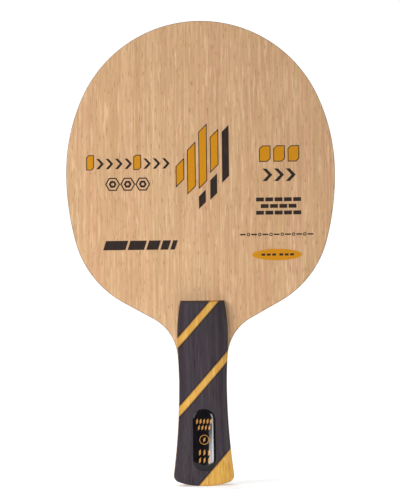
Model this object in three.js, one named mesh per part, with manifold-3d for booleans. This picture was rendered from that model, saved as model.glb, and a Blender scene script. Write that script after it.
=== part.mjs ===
// Bare table tennis blade: seven glued plies run from the crown to the butt, and two handle scales,
// each a marquetry of dark and yellow wood, are glued to the tang. A resin badge is set into the front one.
//
// Millimetres. +Z runs from the butt to the crown and -Y is the front. The origin is the middle of the
// butt's lowest point, on the blade's middle plane.

import * as THREE from 'three';
import { mergeVertices } from 'three/addons/utils/BufferGeometryUtils.js';
import Module from 'manifold-3d';

const wasm = await Module();
wasm.setup();

const { PI, asin, atan2, cos, sin, sqrt } = Math;
const { degToRad } = THREE.MathUtils;

// ---------------------------------------------------------------- driving dimensions

// head outline
const BLADE_WIDTH = 150;
const BLADE_LENGTH = 259;
const WIDEST_HEIGHT = 174;
const CROWN_RADIUS = 72.2;
const FLANK_RADIUS = 148;
const FLANK_TURN = degToRad(14.8);
const CHEEK_RADIUS = 55;
const NECK_RADIUS = 25.9;

// tang outline, which the scales follow
const WAIST_WIDTH = 26.5;
const WAIST_HEIGHT = 57.2;
const SHOULDER_RADIUS = 177;
const SHOULDER_TURN = degToRad(5);
const FLARE_RADIUS = 374;
const BUTT_CORNER_RADIUS = 3.5;
const BUTT_ARCH_RADIUS = 50;

// plies, from the front face to the rear one
const PLIES = [
  { name: 'front_face_veneer', thickness: 0.55, material: 'faceVeneer' },
  { name: 'front_carbon_ply', thickness: 0.25, material: 'carbonPly' },
  { name: 'front_middle_veneer', thickness: 0.75, material: 'middleVeneer' },
  { name: 'core_ply', thickness: 2.8, material: 'coreWood' },
  { name: 'rear_middle_veneer', thickness: 0.75, material: 'middleVeneer' },
  { name: 'rear_carbon_ply', thickness: 0.25, material: 'carbonPly' },
  { name: 'rear_face_veneer', thickness: 0.55, material: 'faceVeneer' },
];
const BLADE_THICKNESS = PLIES.reduce((total, ply) => total + ply.thickness, 0);
const BLADE_FACE = BLADE_THICKNESS / 2;

// handle scales
const SCALE_LENGTH = 103;
const SCALE_WIDEST_WIDTH = 28.2;
const SCALE_WIDEST_HEIGHT = 84;
const SCALE_TOP_WIDTH = 24.4;
const WAIST_HALF_THICKNESS = 11.2;
const BUTT_HALF_THICKNESS = 12.5;
const SECTION_CORNER_RADIUS = 7;
const SECTION_CROWN_RADIUS = 60;
const SCALE_END_RUN = 0.6;
const SCALE_END_ROUND = 0.7;

// marquetry in each scale
const INLAY_ANGLE = degToRad(48.5);
const STRIPE_WIDTH = 3.9;
const STRIPE_HEIGHTS = [95.4, 56.7];
const CORNER_HEIGHT = 4;
const INLAY_GAP = 0.3;

// badge
const BADGE_WIDTH = 12.3;
const BADGE_LENGTH = 34.4;
const BADGE_HEIGHT = 25.6;
const PLATE_THICKNESS = 0.8;
const DOME_SINK = 0.35;
const DOME_PROUD = 0.05;
const DOME_RISE = 0.38;
const DOME_ROUND = 3.6;
const BADGE_GAP = 0.3;

// fineness
const OUTLINE_SEGMENTS = 5;
const SECTION_SEGMENTS = 3;
const SCALE_STEPS = 26;

// how far bodies that are cut, and bodies that cut, reach past the surface they meet
const SCALE_OVERRUN = 1;
const BEYOND = 120;

// ---------------------------------------------------------------- materials

const colours = {
  faceVeneer: { color: 0xcea67d, roughness: 0.6 },
  carbonPly: { color: 0x2b2d31, roughness: 0.5 },
  middleVeneer: { color: 0xd8b98e, roughness: 0.7 },
  coreWood: { color: 0xe0c7a0, roughness: 0.75 },
  darkWood: { color: 0x463f45, roughness: 0.45 },
  yellowWood: { color: 0xd4a651, roughness: 0.45 },
  badgePlate: { color: 0x151318, roughness: 0.3 },
  badgeDome: { color: 0x201c22, roughness: 0.08 },
};

const materials = {};
for (const [name, look] of Object.entries(colours)) {
  materials[name] = new THREE.MeshStandardMaterial({ ...look, metalness: 0 });
}

// ---------------------------------------------------------------- solids

function toSolid(geometry) {
  const bare = geometry.clone();
  bare.deleteAttribute('normal');
  bare.deleteAttribute('uv');
  const merged = mergeVertices(bare);
  return new wasm.Manifold(new wasm.Mesh({
    numProp: 3,
    vertProperties: new Float32Array(merged.attributes.position.array),
    triVerts: new Uint32Array(merged.index.array),
  }));
}

function toGeometry(solid) {
  const { vertProperties, triVerts, numProp } = solid.getMesh();
  const geometry = new THREE.BufferGeometry();
  geometry.setAttribute('position', new THREE.BufferAttribute(vertProperties, numProp));
  geometry.setIndex(new THREE.BufferAttribute(triVerts, 1));
  geometry.computeVertexNormals();
  return geometry;
}

// Extrudes a shape drawn in X and Z through Y, from one Y to another.
function extrudeThroughY(shape, fromY, toY, options = {}) {
  const settings = { depth: toY - fromY, bevelEnabled: false, curveSegments: OUTLINE_SEGMENTS, ...options };
  const geometry = new THREE.ExtrudeGeometry(shape, settings);
  geometry.rotateX(PI / 2);
  geometry.translate(0, toY, 0);
  return geometry;
}

// ---------------------------------------------------------------- blade outline

// Where a circle crosses another one, at the lower of the two points.
function lowerCrossing(first, firstRadius, second, secondRadius) {
  const distance = first.distanceTo(second);
  const along = (distance ** 2 + firstRadius ** 2 - secondRadius ** 2) / (2 * distance);
  const aside = sqrt(firstRadius ** 2 - along ** 2);
  const towards = second.clone().sub(first).normalize();
  const across = new THREE.Vector2(towards.y, -towards.x);
  const middle = first.clone().addScaledVector(towards, along);
  const offset = across.y < 0 ? aside : -aside;
  return middle.addScaledVector(across, offset);
}

function directionFrom(from, to) {
  return atan2(to.y - from.y, to.x - from.x);
}

function pointAt(centre, radius, angle) {
  return new THREE.Vector2(centre.x + radius * cos(angle), centre.y + radius * sin(angle));
}

// An arc that bulges out of the blade, run clockwise down its right side.
function outerArc(centre, radius, start, end) {
  return { centre, radius, start, end, clockwise: true };
}

// An arc that curves into the blade, run anticlockwise down its right side.
function innerArc(centre, radius, start, end) {
  return { centre, radius, start, end, clockwise: false };
}

// The arc that flares out from the waist, and the corner and the arch that close the butt.
function buttArcs() {
  const archCentre = new THREE.Vector2(0, BUTT_ARCH_RADIUS);
  const flareCentre = new THREE.Vector2(WAIST_WIDTH / 2 + FLARE_RADIUS, WAIST_HEIGHT);
  const cornerCentre = lowerCrossing(
    archCentre,
    BUTT_ARCH_RADIUS - BUTT_CORNER_RADIUS,
    flareCentre,
    FLARE_RADIUS + BUTT_CORNER_RADIUS,
  );
  const flareEnd = directionFrom(cornerCentre, flareCentre);
  const archStart = directionFrom(archCentre, cornerCentre);
  return {
    flare: innerArc(flareCentre, FLARE_RADIUS, PI, flareEnd + PI),
    corner: outerArc(cornerCentre, BUTT_CORNER_RADIUS, flareEnd, archStart),
    arch: outerArc(archCentre, BUTT_ARCH_RADIUS, archStart, -PI / 2),
  };
}

// The right half of the outline, from the top of the crown down to the middle of the butt. Each arc is
// tangent to the next, and the joins between them are worked out from the driving radii.
function rightHandArcs() {
  const half = BLADE_WIDTH / 2;

  // The upper flank's radius follows from the crown's, because both are tangent and meet the widest line.
  const crownCentre = new THREE.Vector2(0, BLADE_LENGTH - CROWN_RADIUS);
  const crownOffset = crownCentre.y - WIDEST_HEIGHT;
  const upperRadius = (half ** 2 + crownOffset ** 2 - CROWN_RADIUS ** 2) / (2 * (half - CROWN_RADIUS));
  const upperCentre = new THREE.Vector2(half - upperRadius, WIDEST_HEIGHT);
  const crownEnd = directionFrom(upperCentre, crownCentre);

  const flankCentre = new THREE.Vector2(half - FLANK_RADIUS, WIDEST_HEIGHT);
  const cheekCentre = pointAt(flankCentre, FLANK_RADIUS - CHEEK_RADIUS, -FLANK_TURN);

  const shoulderCentre = new THREE.Vector2(WAIST_WIDTH / 2 + SHOULDER_RADIUS, WAIST_HEIGHT);
  const shoulderStart = PI - SHOULDER_TURN;
  const neckCentre = pointAt(shoulderCentre, SHOULDER_RADIUS - NECK_RADIUS, shoulderStart);

  // A straight stretch touches the cheek on one side and the neck on the other.
  const bothRadii = CHEEK_RADIUS + NECK_RADIUS;
  const straightLength = sqrt(cheekCentre.distanceTo(neckCentre) ** 2 - bothRadii ** 2);
  const heading = directionFrom(cheekCentre, neckCentre) - atan2(bothRadii, straightLength);

  const butt = buttArcs();
  return [
    outerArc(crownCentre, CROWN_RADIUS, PI / 2, crownEnd),
    outerArc(upperCentre, upperRadius, crownEnd, 0),
    outerArc(flankCentre, FLANK_RADIUS, 0, -FLANK_TURN),
    outerArc(cheekCentre, CHEEK_RADIUS, -FLANK_TURN, heading + PI / 2),
    innerArc(neckCentre, NECK_RADIUS, heading - PI / 2, shoulderStart),
    innerArc(shoulderCentre, SHOULDER_RADIUS, shoulderStart, PI),
    butt.flare,
    butt.corner,
    butt.arch,
  ];
}

// Adds arcs to a shape, then the same arcs mirrored in X and run back again.
function addBothHalves(shape, arcs) {
  for (const arc of arcs) {
    shape.absarc(arc.centre.x, arc.centre.y, arc.radius, arc.start, arc.end, arc.clockwise);
  }
  for (const arc of arcs.toReversed()) {
    shape.absarc(-arc.centre.x, arc.centre.y, arc.radius, PI - arc.end, PI - arc.start, arc.clockwise);
  }
  return shape;
}

// ---------------------------------------------------------------- plies

function makePlies() {
  const outline = addBothHalves(new THREE.Shape(), rightHandArcs());
  let front = -BLADE_FACE;
  return PLIES.map((ply) => {
    const rear = front + ply.thickness;
    const mesh = new THREE.Mesh(extrudeThroughY(outline, front, rear), materials[ply.material]);
    mesh.name = ply.name;
    front = rear;
    return mesh;
  });
}

// ---------------------------------------------------------------- handle scales

// Half the handle's width at a height: an arc below the waist, a soft swell above it, then an arc inwards.
function halfWidth(height) {
  const waist = WAIST_WIDTH / 2;
  const widest = SCALE_WIDEST_WIDTH / 2;
  if (height < WAIST_HEIGHT) {
    return waist + FLARE_RADIUS - sqrt(FLARE_RADIUS ** 2 - (WAIST_HEIGHT - height) ** 2);
  }
  if (height < SCALE_WIDEST_HEIGHT) {
    const share = (height - WAIST_HEIGHT) / (SCALE_WIDEST_HEIGHT - WAIST_HEIGHT);
    return waist + (widest - waist) * share * share * (3 - 2 * share);
  }
  const run = SCALE_LENGTH - SCALE_WIDEST_HEIGHT;
  const drop = widest - SCALE_TOP_WIDTH / 2;
  return widest - drop * ((height - SCALE_WIDEST_HEIGHT) / run) ** 2;
}

// Half the handle's thickness at a height: it swells from the waist down to the butt.
function halfThickness(height) {
  const share = Math.max(0, 1 - height / WAIST_HEIGHT);
  return WAIST_HALF_THICKNESS + (BUTT_HALF_THICKNESS - WAIST_HALF_THICKNESS) * share ** 2;
}

// The front scale's section at the waist, in X and Y: flat against the blade, rounded sides, crowned face.
function waistSection() {
  const half = WAIST_WIDTH / 2;
  const round = SECTION_CORNER_RADIUS;
  const crown = SECTION_CROWN_RADIUS;
  const turn = asin((half - round) / (crown - round));
  const crownY = crown - WAIST_HALF_THICKNESS;
  const cornerY = crownY - (crown - round) * cos(turn);
  const shape = new THREE.Shape();
  shape.moveTo(half, -BLADE_FACE);
  shape.lineTo(-half, -BLADE_FACE);
  shape.absarc(round - half, cornerY, round, PI, 1.5 * PI - turn, false);
  shape.absarc(0, crownY, crown, 1.5 * PI - turn, 1.5 * PI + turn, false);
  shape.absarc(half - round, cornerY, round, 1.5 * PI + turn, 2 * PI, false);
  return shape;
}

// The waist section run up the handle and stretched to the width and thickness at each height.
function sweptScale() {
  const geometry = new THREE.ExtrudeGeometry(waistSection(), {
    depth: SCALE_LENGTH + SCALE_OVERRUN,
    steps: SCALE_STEPS,
    bevelEnabled: false,
    curveSegments: SECTION_SEGMENTS,
  });
  const position = geometry.attributes.position;
  for (let index = 0; index < position.count; index += 1) {
    const height = position.getZ(index);
    const stretchX = halfWidth(height) / halfWidth(WAIST_HEIGHT);
    const stretchY = (halfThickness(height) - BLADE_FACE) / (WAIST_HALF_THICKNESS - BLADE_FACE);
    position.setX(index, position.getX(index) * stretchX);
    position.setY(index, -BLADE_FACE + (position.getY(index) + BLADE_FACE) * stretchY);
  }
  return toSolid(geometry);
}

// All that lies inside the butt's arch and corners, which the scales share with the plies.
function buttTrim() {
  const { corner, arch } = buttArcs();
  const shape = new THREE.Shape();
  shape.moveTo(-BEYOND, BEYOND);
  shape.lineTo(BEYOND, BEYOND);
  addBothHalves(shape, [corner, arch]);
  return toSolid(extrudeThroughY(shape, -BEYOND, 0));
}

// All that lies below the scale's steep end face, drawn from the side with its outer edge rounded.
function endTrim() {
  const rise = WAIST_HALF_THICKNESS - BLADE_FACE;
  const slope = atan2(rise, SCALE_END_RUN);
  const roundDepth = WAIST_HALF_THICKNESS - SCALE_END_ROUND;
  const roundHeight = SCALE_LENGTH - (SCALE_END_ROUND + (roundDepth - BLADE_FACE) * cos(slope)) / sin(slope);
  const shape = new THREE.Shape();
  shape.moveTo(-BEYOND, 0);
  shape.lineTo(SCALE_LENGTH + (BLADE_FACE * SCALE_END_RUN) / rise, 0);
  shape.absarc(roundHeight, roundDepth, SCALE_END_ROUND, PI / 2 - slope, PI / 2, false);
  shape.lineTo(roundHeight, BEYOND);
  shape.lineTo(-BEYOND, BEYOND);
  const geometry = new THREE.ExtrudeGeometry(shape, {
    depth: 2 * BEYOND,
    bevelEnabled: false,
    curveSegments: SECTION_SEGMENTS,
  });
  geometry.translate(0, 0, -BEYOND);
  const upright = new THREE.Matrix4().makeBasis(
    new THREE.Vector3(0, 0, 1),
    new THREE.Vector3(0, -1, 0),
    new THREE.Vector3(1, 0, 0),
  );
  geometry.applyMatrix4(upright);
  return toSolid(geometry);
}

// A slab that slopes up to the right, between the heights at which its faces cross the middle line.
function slopingSlab(lowerHeight, upperHeight) {
  const lower = lowerHeight * cos(INLAY_ANGLE) + INLAY_GAP / 2;
  const upper = upperHeight * cos(INLAY_ANGLE) - INLAY_GAP / 2;
  const geometry = new THREE.BoxGeometry(4 * BEYOND, BEYOND, upper - lower);
  geometry.translate(0, 0, (lower + upper) / 2);
  geometry.rotateY(-INLAY_ANGLE);
  return toSolid(geometry);
}

// The woods of one scale from the head down, each with the height at which its upper joint crosses the
// middle line. The first has no joint above it.
function marquetryPieces() {
  const halfStripe = STRIPE_WIDTH / 2 / cos(INLAY_ANGLE);
  const [upperStripe, lowerStripe] = STRIPE_HEIGHTS;
  return [
    { name: 'upper_dark_wood', material: 'darkWood', joint: 2 * BEYOND },
    { name: 'upper_stripe', material: 'yellowWood', joint: upperStripe + halfStripe },
    { name: 'middle_dark_wood', material: 'darkWood', joint: upperStripe - halfStripe },
    { name: 'lower_stripe', material: 'yellowWood', joint: lowerStripe + halfStripe },
    { name: 'lower_dark_wood', material: 'darkWood', joint: lowerStripe - halfStripe },
    { name: 'yellow_corner', material: 'yellowWood', joint: CORNER_HEIGHT },
  ];
}

function makeScale(side, wholeScale) {
  const scale = new THREE.Group();
  const pieces = marquetryPieces();
  pieces.forEach((piece, index) => {
    const nextJoint = index + 1 < pieces.length ? pieces[index + 1].joint : -2 * BEYOND;
    const cut = wholeScale.intersect(slopingSlab(nextJoint, piece.joint));
    const mesh = new THREE.Mesh(toGeometry(cut), materials[piece.material]);
    mesh.name = `${side}_${piece.name}`;
    scale.add(mesh);
  });
  return scale;
}

// ---------------------------------------------------------------- badge

// A stadium in X and Z, grown all round for the pocket that it sits in.
function badgeOutline(grow = 0) {
  const radius = BADGE_WIDTH / 2 + grow;
  const reach = (BADGE_LENGTH - BADGE_WIDTH) / 2;
  const shape = new THREE.Shape();
  shape.absarc(0, reach, radius, 0, PI, false);
  shape.absarc(0, -reach, radius, PI, 2 * PI, false);
  return shape;
}

// Moves a group to the badge's own frame: its origin is on the scale's face at the middle of the badge, and
// it leans with that face.
function placeBadge(group) {
  const upper = halfThickness(BADGE_HEIGHT + BADGE_LENGTH / 2);
  const lower = halfThickness(BADGE_HEIGHT - BADGE_LENGTH / 2);
  group.position.set(0, -(upper + lower) / 2, BADGE_HEIGHT);
  group.rotation.x = -atan2(lower - upper, BADGE_LENGTH);
  group.updateMatrix();
  return group;
}

function makeBadge() {
  const plateTop = DOME_SINK + BADGE_GAP;
  const plate = new THREE.Mesh(
    extrudeThroughY(badgeOutline(), plateTop, plateTop + PLATE_THICKNESS),
    materials.badgePlate,
  );
  plate.name = 'badge_plate';

  // A pillow with a rounded rim on both faces, of which the outer half is the dome.
  const rim = DOME_SINK + DOME_PROUD;
  const pillow = toSolid(extrudeThroughY(badgeOutline(), -rim, rim, {
    bevelEnabled: true,
    bevelThickness: DOME_RISE,
    bevelSize: DOME_ROUND,
    bevelOffset: -DOME_ROUND,
    bevelSegments: 4,
  }));
  const outerHalf = new THREE.BoxGeometry(BEYOND, BEYOND, BEYOND);
  outerHalf.translate(0, -BEYOND / 2, 0);
  const dome = new THREE.Mesh(toGeometry(pillow.intersect(toSolid(outerHalf))), materials.badgeDome);
  dome.name = 'badge_dome';
  dome.position.y = DOME_SINK;

  return placeBadge(new THREE.Group().add(plate, dome));
}

function badgePocket() {
  const floor = DOME_SINK + BADGE_GAP + PLATE_THICKNESS + BADGE_GAP;
  const geometry = extrudeThroughY(badgeOutline(BADGE_GAP), -BEYOND, floor);
  geometry.applyMatrix4(placeBadge(new THREE.Group()).matrix);
  return toSolid(geometry);
}

// ---------------------------------------------------------------- assembly

const paddle = new THREE.Group();
paddle.add(...makePlies());

const wholeScale = sweptScale().intersect(buttTrim()).intersect(endTrim());
const frontScale = makeScale('front', wholeScale.subtract(badgePocket()));
const rearScale = makeScale('rear', wholeScale);
rearScale.rotation.z = PI;
paddle.add(frontScale, rearScale, makeBadge());

export default paddle;
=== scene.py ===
"""Looks of a bare table tennis blade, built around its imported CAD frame.

Outlines are worked out in millimetres, in the frame's own axes: X across the blade, Z from the butt to the
crown, and Y through it with the front face towards -Y. Meshes are stored in metres.
"""
from math import acos, asin, atan2, ceil, cos, hypot, pi, radians, sin, sqrt

import bmesh
import bpy
from mathutils import Matrix, Quaternion, Vector


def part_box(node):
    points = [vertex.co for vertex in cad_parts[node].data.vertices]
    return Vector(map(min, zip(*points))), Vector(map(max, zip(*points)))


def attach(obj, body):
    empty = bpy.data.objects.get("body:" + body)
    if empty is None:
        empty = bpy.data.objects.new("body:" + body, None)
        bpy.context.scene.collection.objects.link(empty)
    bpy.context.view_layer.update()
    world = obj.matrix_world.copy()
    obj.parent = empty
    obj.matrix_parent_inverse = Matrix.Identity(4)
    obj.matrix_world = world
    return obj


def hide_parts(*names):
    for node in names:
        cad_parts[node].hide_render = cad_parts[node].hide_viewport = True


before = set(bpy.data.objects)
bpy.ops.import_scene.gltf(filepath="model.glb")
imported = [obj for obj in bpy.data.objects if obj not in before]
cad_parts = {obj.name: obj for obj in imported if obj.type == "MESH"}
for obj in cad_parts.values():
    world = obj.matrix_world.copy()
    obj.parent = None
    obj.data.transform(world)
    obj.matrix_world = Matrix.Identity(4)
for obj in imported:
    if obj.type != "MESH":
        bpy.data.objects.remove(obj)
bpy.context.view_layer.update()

MM = 0.001
BODY = "root"

# ------------ sizes read from the frame, in millimetres


def node_box(node):
    """Lowest and highest corner of a CAD node, in millimetres."""
    low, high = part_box(node)
    return low / MM, high / MM


BLADE_HALF_WIDTH = node_box("core_ply")[1].x
BLADE_LENGTH = node_box("core_ply")[1].z
BLADE_FACE = node_box("rear_face_veneer")[1].y
SCALE_LENGTH = node_box("rear_middle_dark_wood")[1].z
WAIST_HALF_THICKNESS = node_box("rear_upper_dark_wood")[1].y
BUTT_HALF_THICKNESS = node_box("rear_yellow_corner")[1].y
BADGE_LOW, BADGE_HIGH = node_box("badge_plate")
BADGE_HALF_WIDTH = BADGE_HIGH.x

# ------------ radii and places that no box gives

# head and tang outline
WIDEST_HEIGHT = 174
CROWN_RADIUS = 72.2
FLANK_RADIUS = 148
FLANK_TURN = radians(14.8)
CHEEK_RADIUS = 55
NECK_RADIUS = 25.9
WAIST_HALF_WIDTH = 13.25
WAIST_HEIGHT = 57.2
SHOULDER_RADIUS = 177
SHOULDER_TURN = radians(5)
FLARE_RADIUS = 374
BUTT_CORNER_RADIUS = 3.5
BUTT_ARCH_RADIUS = 50

# handle scales
SCALE_WIDEST_HALF = 14.1
SCALE_WIDEST_HEIGHT = 84
SCALE_TOP_HALF = 12.2
SECTION_CORNER_RADIUS = 7
SECTION_CROWN_RADIUS = 60
SCALE_END_RUN = 0.6
BUTT_EDGE_ROUND = 1.2
END_EDGE_ROUND = 0.7
END_CORNER_ROUND = 0.4
BELOW_GLUE_LINE = 1.45

# heights between which the rolled edges at the butt and at the end by the head are looked for
BUTT_SEARCH = (-2, 20)
END_SEARCH = (80, SCALE_LENGTH + 5)

# marquetry: heights at which the sloping joints cross the middle line
INLAY_ANGLE = radians(48.5)
STRIPE_WIDTH = 3.9
STRIPE_HEIGHTS = (95.4, 56.7)
CORNER_HEIGHT = 4
JOINT_GAP = 0.05

# edges of the plies: the head's are sanded round, the tang's lie flush with the scales
EDGE_ROUND = 0.5
TANG_EDGE_ROUND = 0.03
EDGE_ROUND_HEIGHTS = (62, 92)
PLY_EASE = 0.04
CARBON_RECESS = 0.03

# badge: heights are out of the scale's face, and sinks into it
BADGE_HALF_LENGTH = 17.2
DOME_SINK = 0.35
DOME_EDGE_HEIGHT = 0.05
DOME_RISE = 0.38
DOME_POWER = 3.6
DOME_LIP = 0.12
DOME_RIDGE = 0.25
PLATE_BOTTOM = 1.5
PLATE_EASE = 0.05
POCKET_GAP = 0.1
POCKET_DEPTH = 1.6
POCKET_OVERRUN = 3

# print: ink stands a little proud and is sunk a little into the surface under it
INK_SINK = 0.01
DARK_INK_HEIGHT = 0.02
YELLOW_INK_HEIGHT = 0.035
GOLD_INK_HEIGHT = 0.015
OUTLINE_LINE = 0.5

# fineness of the meshes
OUTLINE_SPACING = 0.9
FEWEST_ARC_STEPS = 4
EDGE_STEPS = 5
SIDE_STEPS = 4
CORNER_STEPS = 16
CROWN_STEPS = 8
ROLL_STEPS = 7
LENGTH_STEPS = 90
STADIUM_ARC_STEPS = 40
STADIUM_SIDE_STEPS = 22
LIP_STEPS = 4
DOME_STEPS = 22
SLOPE_STEP = 0.01
CROSSING_ROUNDS = 40
CUT_TOLERANCE = 0.0001
RING_STEPS = 48
ELLIPSE_STEPS = 60
ELLIPSE_END = radians(3)
DOME_PRINT_SPACING = 0.35

# edges sharper than this angle, and those of flat faces with more corners than this, aren't shaded smooth
SHARP_ANGLE = radians(38)
FLAT_FACE_CORNERS = 12

# camera: millimetres, but for the azimuth in degrees and how far it sees in metres. The view's height and
# middle are on the front face.
CAMERA_REACH = 50
CAMERA_LENS = 300
CAMERA_SENSOR = 36
CAMERA_AZIMUTH = -1.8
CAMERA_ROLL = radians(-0.646)
VIEW_HEIGHT = 278.8
VIEW_MIDDLE = (-0.9, 131.2)

# Lights, in metres, degrees and watts: name, azimuth, elevation, distance, size, power. The softboxes are
# aimed at the middle of the blade, and the strips at the badge, on which they make its highlight.
SOFTBOXES = (
    ("key_softbox", -42, 12, 0.6, (0.35, 0.25), 2.85),
    ("side_softbox", 98, 8, 1.3, (0.5, 0.6), 6),
    ("rear_softbox", 200, 25, 1.6, (1.0, 0.8), 13),
    ("top_softbox", 0, 88, 1.5, (1.2, 1.2), 4),
)
BADGE_STRIPS = (
    ("upper_strip", 15, 5.5, 1.25, (0.1, 0.28), 1.25),
    ("lower_strip", 11.5, -2.5, 1.25, (0.28, 0.12), 2.1),
)

# surroundings: how far below and above the horizon their light levels off, its strength there, and how
# bright they are when seen directly
WORLD_HEIGHTS = (-0.1, 0.9)
WORLD_LIGHT = (0.05, 0.34)
WORLD_SEEN = 1.1
WHITE = (1, 1, 1, 1)

# floor: its radius in metres, how many corners it has, its glow, and the greys that it varies between
FLOOR_RADIUS = 0.2
FLOOR_CORNERS = 96
FLOOR_GLOW = 0.34
FLOOR_GREYS = (0.86, 0.92)

# ------------ outline


def smooth_step(low, high, value):
    share = min(1, max(0, (value - low) / (high - low)))
    return share * share * (3 - 2 * share)


def blend_between(first, second, share):
    return first + (second - first) * share


def blend_points(first, second, share):
    return tuple(blend_between(a, b, share) for a, b in zip(first, second))


def point_at(centre, radius, angle):
    return (centre[0] + radius * cos(angle), centre[1] + radius * sin(angle))


def direction_from(start, end):
    return atan2(end[1] - start[1], end[0] - start[0])


def distance_between(start, end):
    return hypot(end[0] - start[0], end[1] - start[1])


def arc_points(centre, radius, start, end):
    """Points along an arc, without its last one."""
    count = max(FEWEST_ARC_STEPS, ceil(abs(end - start) * radius / OUTLINE_SPACING))
    return [point_at(centre, radius, start + (end - start) * step / count) for step in range(count)]


def straight_points(start, end):
    """Points along a line, without either end."""
    count = ceil(distance_between(start, end) / OUTLINE_SPACING)
    shares = [step / count for step in range(1, count)]
    return [blend_points(start, end, share) for share in shares]


ARCH_CENTRE = (0, BUTT_ARCH_RADIUS)
FLARE_CENTRE = (WAIST_HALF_WIDTH + FLARE_RADIUS, WAIST_HEIGHT)


def butt_corner_centre():
    """The corner's circle touches the arch from inside and the flare from outside."""
    arch_reach = BUTT_ARCH_RADIUS - BUTT_CORNER_RADIUS
    flare_reach = FLARE_RADIUS + BUTT_CORNER_RADIUS
    apart = distance_between(ARCH_CENTRE, FLARE_CENTRE)
    turn = acos((arch_reach**2 + apart**2 - flare_reach**2) / (2 * arch_reach * apart))
    return point_at(ARCH_CENTRE, arch_reach, direction_from(ARCH_CENTRE, FLARE_CENTRE) - turn)


def right_half_outline():
    """The outline's right half, from the top of the crown to the middle of the butt."""
    half = BLADE_HALF_WIDTH
    crown = (0, BLADE_LENGTH - CROWN_RADIUS)
    rise = crown[1] - WIDEST_HEIGHT
    upper_radius = (half**2 + rise**2 - CROWN_RADIUS**2) / (2 * (half - CROWN_RADIUS))
    upper = (half - upper_radius, WIDEST_HEIGHT)
    crown_end = direction_from(upper, crown)
    flank = (half - FLANK_RADIUS, WIDEST_HEIGHT)
    cheek = point_at(flank, FLANK_RADIUS - CHEEK_RADIUS, -FLANK_TURN)
    shoulder = (WAIST_HALF_WIDTH + SHOULDER_RADIUS, WAIST_HEIGHT)
    shoulder_start = pi - SHOULDER_TURN
    neck = point_at(shoulder, SHOULDER_RADIUS - NECK_RADIUS, shoulder_start)
    both = CHEEK_RADIUS + NECK_RADIUS
    straight = sqrt(distance_between(cheek, neck) ** 2 - both**2)
    heading = direction_from(cheek, neck) - atan2(both, straight)
    cheek_end = heading + pi / 2
    neck_start = heading + 3 * pi / 2
    corner = butt_corner_centre()
    flare_end = direction_from(corner, FLARE_CENTRE)
    arch_start = direction_from(ARCH_CENTRE, corner)

    points = arc_points(crown, CROWN_RADIUS, pi / 2, crown_end)
    points += arc_points(upper, upper_radius, crown_end, 0)
    points += arc_points(flank, FLANK_RADIUS, 0, -FLANK_TURN)
    points += arc_points(cheek, CHEEK_RADIUS, -FLANK_TURN, cheek_end)
    straight_start = point_at(cheek, CHEEK_RADIUS, cheek_end)
    points.append(straight_start)
    points += straight_points(straight_start, point_at(neck, NECK_RADIUS, neck_start))
    points += arc_points(neck, NECK_RADIUS, neck_start, shoulder_start)
    points += arc_points(shoulder, SHOULDER_RADIUS, shoulder_start, pi)
    points += arc_points(FLARE_CENTRE, FLARE_RADIUS, pi, pi + flare_end)
    points += arc_points(corner, BUTT_CORNER_RADIUS, flare_end, arch_start)
    points += arc_points(ARCH_CENTRE, BUTT_ARCH_RADIUS, arch_start, -pi / 2)
    points.append((0, 0))
    return points


def blade_outline():
    """The whole outline, clockwise from the crown's top, with the direction outwards at each point."""
    right = right_half_outline()
    points = right + [(-x, z) for x, z in reversed(right[1:-1])]
    outward = []
    for index in range(len(points)):
        before = points[index - 1]
        after = points[(index + 1) % len(points)]
        length = distance_between(before, after)
        outward.append(((before[1] - after[1]) / length, (after[0] - before[0]) / length))
    return points, outward


OUTLINE, OUTWARD = blade_outline()

# ------------ meshes


def add_object(name, data):
    thing = bpy.data.objects.new(name, data)
    bpy.context.scene.collection.objects.link(thing)
    return thing


def finish_piece(name, mesh, materials, slot):
    """Shades the mesh smooth but for its corners and its large flat faces, and rides it on the blade."""
    for polygon in mesh.polygons:
        polygon.use_smooth = True
    mesh.set_sharp_from_angle(angle=SHARP_ANGLE)
    for polygon in mesh.polygons:
        if polygon.loop_total > FLAT_FACE_CORNERS:
            for loop in polygon.loop_indices:
                mesh.edges[mesh.loops[loop].edge_index].use_edge_sharp = True
    mesh.materials.clear()
    mesh.materials.append(materials[slot])
    piece = add_object(name, mesh)
    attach(piece, BODY)
    return piece


def finish_node(node, mesh, materials, slot):
    """A finished piece that stands for a CAD node."""
    piece = finish_piece(node + "_finished", mesh, materials, slot)
    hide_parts(node)


def mesh_from(name, vertices, faces):
    """A closed mesh in metres, its faces turned outwards, from vertices in millimetres."""
    mesh = bpy.data.meshes.new(name)
    mesh.from_pydata([Vector(vertex) * MM for vertex in vertices], [], faces)
    solid = bmesh.new()
    solid.from_mesh(mesh)
    bmesh.ops.recalc_face_normals(solid, faces=solid.faces)
    solid.to_mesh(mesh)
    solid.free()
    return mesh


def stacked_rings(rings):
    """Vertices and faces of a closed body whose skin runs through rings of as many points each."""
    count = len(rings[0])
    vertices = [vertex for ring in rings for vertex in ring]
    faces = [list(range(count)), list(range(len(vertices) - count, len(vertices)))]
    for row in range(len(rings) - 1):
        first = row * count
        for index in range(count):
            after = (index + 1) % count
            faces.append((first + index, first + after, first + count + after, first + count + index))
    return vertices, faces


# ------------ plies


def edge_round_at(height):
    """How much of a face veneer's edge is sanded round. The tang stays sharp, where the scales lie flush."""
    return blend_between(TANG_EDGE_ROUND, EDGE_ROUND, smooth_step(*EDGE_ROUND_HEIGHTS, height))


def outline_ring(insets, depths):
    """The blade's outline, each point moved inwards by its inset and set at its depth."""
    points = []
    for (x, z), (out_x, out_z), inset, depth in zip(OUTLINE, OUTWARD, insets, depths):
        points.append((x - out_x * inset, depth, z - out_z * inset))
    return points


def level_ring(inset, depth):
    return outline_ring([inset] * len(OUTLINE), [depth] * len(OUTLINE))


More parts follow.
